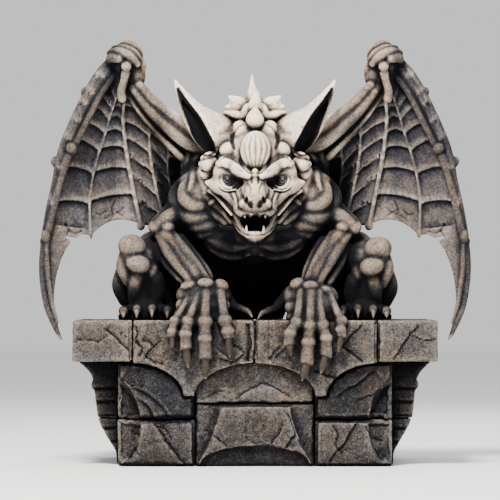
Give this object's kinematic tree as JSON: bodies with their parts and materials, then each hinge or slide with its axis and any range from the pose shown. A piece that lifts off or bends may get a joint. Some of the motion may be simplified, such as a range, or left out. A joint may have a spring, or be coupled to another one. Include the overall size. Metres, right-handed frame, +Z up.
{
  "type": "stone gargoyle",
  "caption": "Winged stone gargoyle crouching on a plinth of arcaded stone blocks, its claws hooked over the edge.",
  "frame": {"origin": "middle of the plinth's flat underside", "axes": "+Z up, the gargoyle faces -Y, and +X is on the right of someone who looks it in the face"},
  "size_m": [1.3102, 0.7453, 1.2891],
  "materials": {
    "carved_stone": "matte",
    "block_stone": "matte"
  },
  "bodies": {
    "root": {"gargoyle": "carved_stone", "cap_end_block_left": "block_stone", "cap_arch_block_left": "block_stone", "cap_arch_block_right": "block_stone", "cap_end_block_right": "block_stone", "tympanum_block": "block_stone", "centre_base_block": "block_stone", "base_block_left": "block_stone", "base_block_right": "block_stone", "wall_block_left": "block_stone", "wall_block_right": "block_stone", "bracket_lower_left": "block_stone", "bracket_lower_right": "block_stone", "bracket_upper_left": "block_stone", "bracket_upper_right": "block_stone"}
  },
  "joints": []
}
